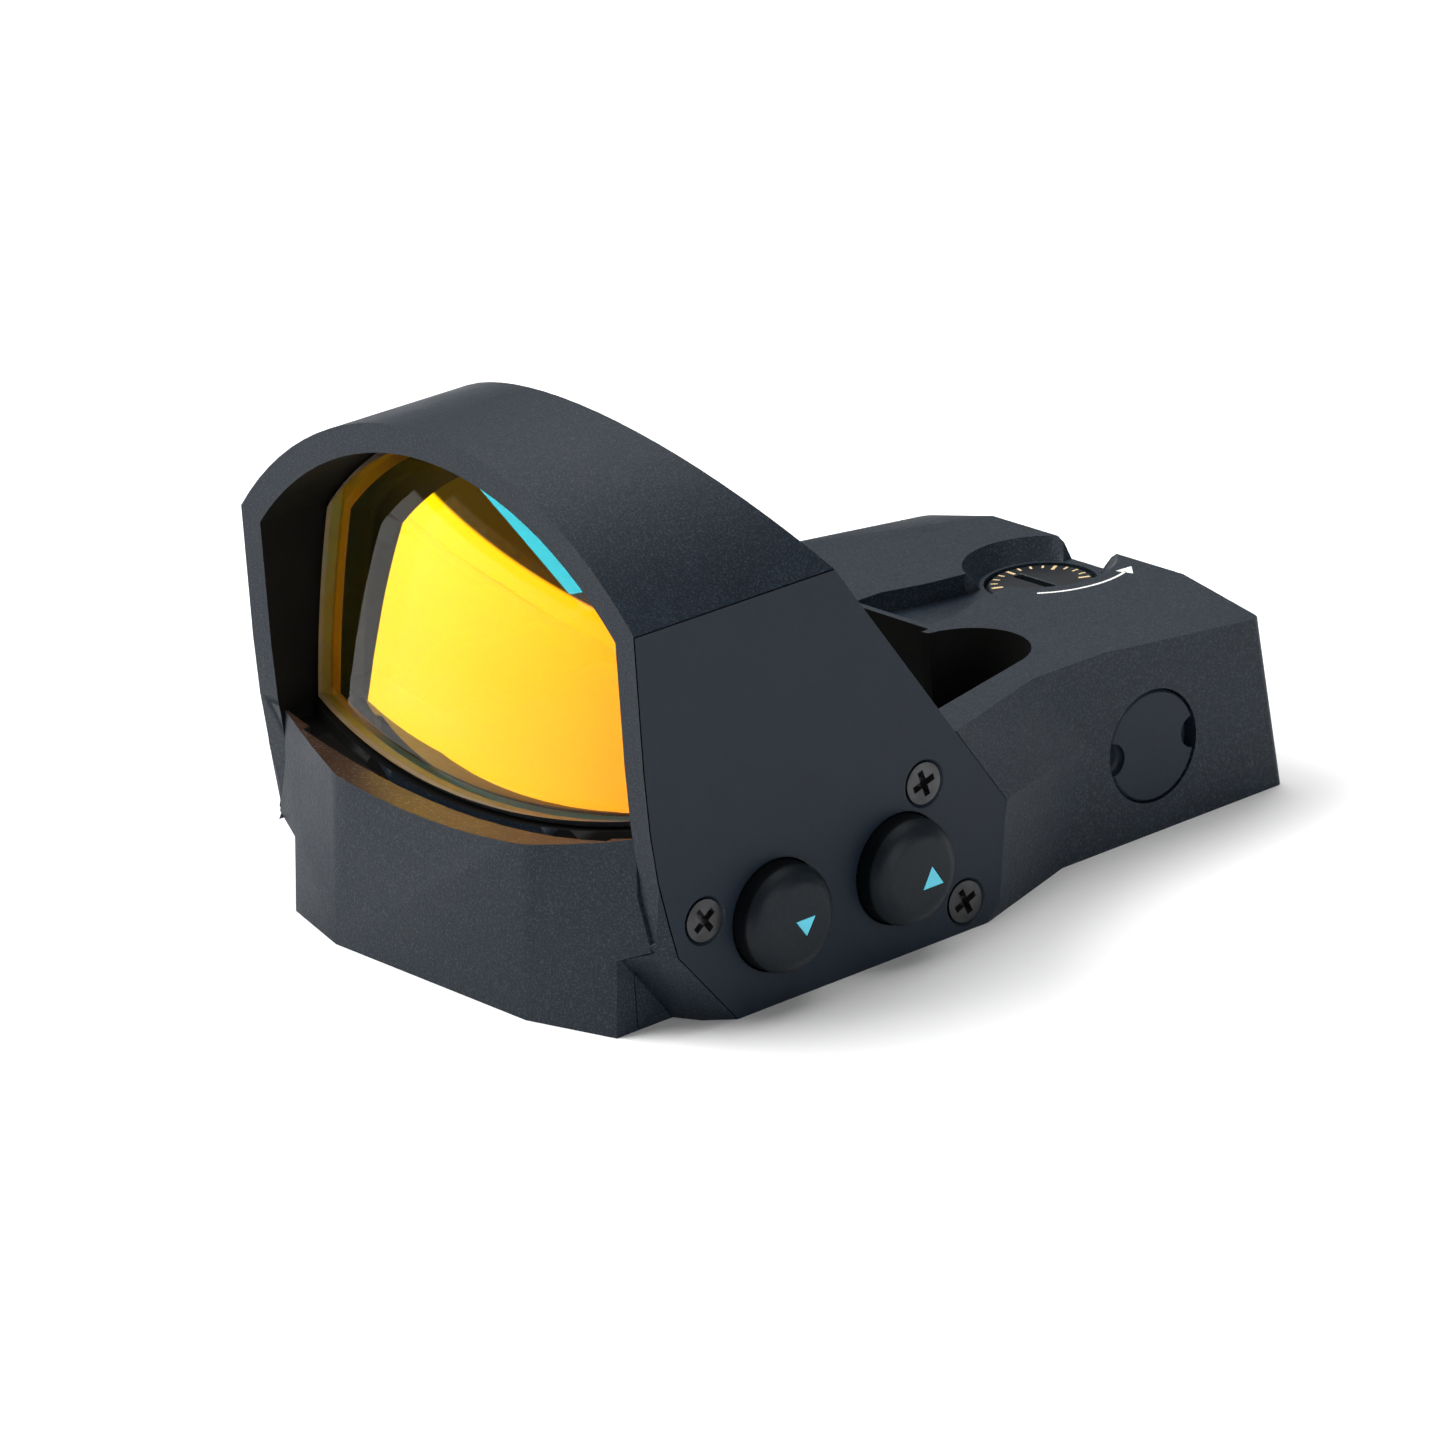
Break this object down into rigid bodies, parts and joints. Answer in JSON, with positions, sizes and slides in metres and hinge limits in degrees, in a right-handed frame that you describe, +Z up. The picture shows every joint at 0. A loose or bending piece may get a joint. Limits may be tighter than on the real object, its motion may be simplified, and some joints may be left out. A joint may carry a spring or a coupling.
{
  "type": "reflex red dot sight",
  "caption": "Open reflex sight with an arched hood, tilted coated lens, battery drawer in front, brightness buttons on one side and adjustment dials on a low rear deck.",
  "frame": {"origin": "on the base plane, midway between the two mounting screw holes", "axes": "+X towards the side with the buttons, +Y towards the user's eye, +Z up from the base plane"},
  "size_m": [0.0348, 0.0494, 0.03],
  "materials": {
    "anodised": "bead-blasted, black anodised, satin",
    "cover": "machined, black anodised, satin",
    "coated_glass": "polished, with a coating that mirrors yellow and passes cyan",
    "clear_glass": "polished",
    "black_rubber": "moulded, matt",
    "button": "fine grain, matt",
    "black_steel": "black oxide",
    "steel": "bright",
    "brass": "turned",
    "circuit_board": "solder mask",
    "chip": "moulded",
    "emitter": "clear red epoxy"
  },
  "bodies": {
    "housing": {"main_housing": "anodised", "lens_front_element": "coated_glass", "lens_rear_element": "coated_glass", "lens_seal": "black_rubber", "positive_contact": "brass", "negative_contact": "brass", "drawer_detent_ball": "steel", "side_cover": "cover", "cover_gasket": "black_rubber", "cover_screw_front": "black_steel", "cover_screw_upper": "black_steel", "cover_screw_rear": "black_steel", "button_board": "circuit_board", "keypad_membrane": "black_rubber", "down_switch": "steel", "up_switch": "steel", "side_plug": "anodised", "windage_spring": "steel", "elevation_spring": "steel", "emitter_window": "clear_glass", "base_cover": "anodised", "base_cover_screw_front": "black_steel", "base_cover_screw_rear": "black_steel", "main_board": "circuit_board", "control_chip": "chip"},
    "drawer": {"battery_drawer": "anodised", "drawer_seal": "black_rubber", "coin_cell": "steel"},
    "down_key": {"down_button": "button"},
    "up_key": {"up_button": "button"},
    "elevation_adjuster": {"elevation_dial": "anodised", "elevation_screw": "brass", "elevation_clip": "steel"},
    "windage_adjuster": {"windage_dial": "anodised", "windage_screw": "brass", "windage_seal_ring": "black_rubber"},
    "vertical_slide": {"elevation_carriage": "brass"},
    "cross_slide": {"windage_carriage": "brass", "emitter_board": "circuit_board", "emitter_diode": "emitter"}
  },
  "joints": [
    {"name": "drawer_slide", "type": "slide", "parent": "housing", "child": "drawer", "axis": [0, -1, 0], "range_m": [0, 0.022]},
    {"name": "down_press", "type": "slide", "parent": "housing", "child": "down_key", "axis": [-1, 0, 0], "range_m": [0, 0.00045], "stiffness_N_per_m": 800},
    {"name": "up_press", "type": "slide", "parent": "housing", "child": "up_key", "axis": [-1, 0, 0], "range_m": [0, 0.00045], "stiffness_N_per_m": 800},
    {"name": "elevation_turn", "type": "hinge", "parent": "housing", "child": "elevation_adjuster", "pos_m": [0, 0.0131, 0.0095], "axis": [0, 0, 1], "range_deg": [-360, 360]},
    {"name": "elevation_travel", "type": "slide", "parent": "housing", "child": "vertical_slide", "axis": [0, 0, 1], "range_m": [-0.0004, 0.0004], "deforming": ["elevation_spring"]},
    {"name": "windage_turn", "type": "hinge", "parent": "housing", "child": "windage_adjuster", "pos_m": [-0.013, 0.00844, 0.005], "axis": [1, 0, 0], "range_deg": [-360, 360]},
    {"name": "windage_travel", "type": "slide", "parent": "vertical_slide", "child": "cross_slide", "axis": [1, 0, 0], "range_m": [-0.0004, 0.0004]}
  ],
  "couplings": [
    {"joint": "elevation_turn", "follows": "elevation_travel", "rad_per_m": 15700},
    {"joint": "windage_turn", "follows": "windage_travel", "rad_per_m": 15700}
  ]
}
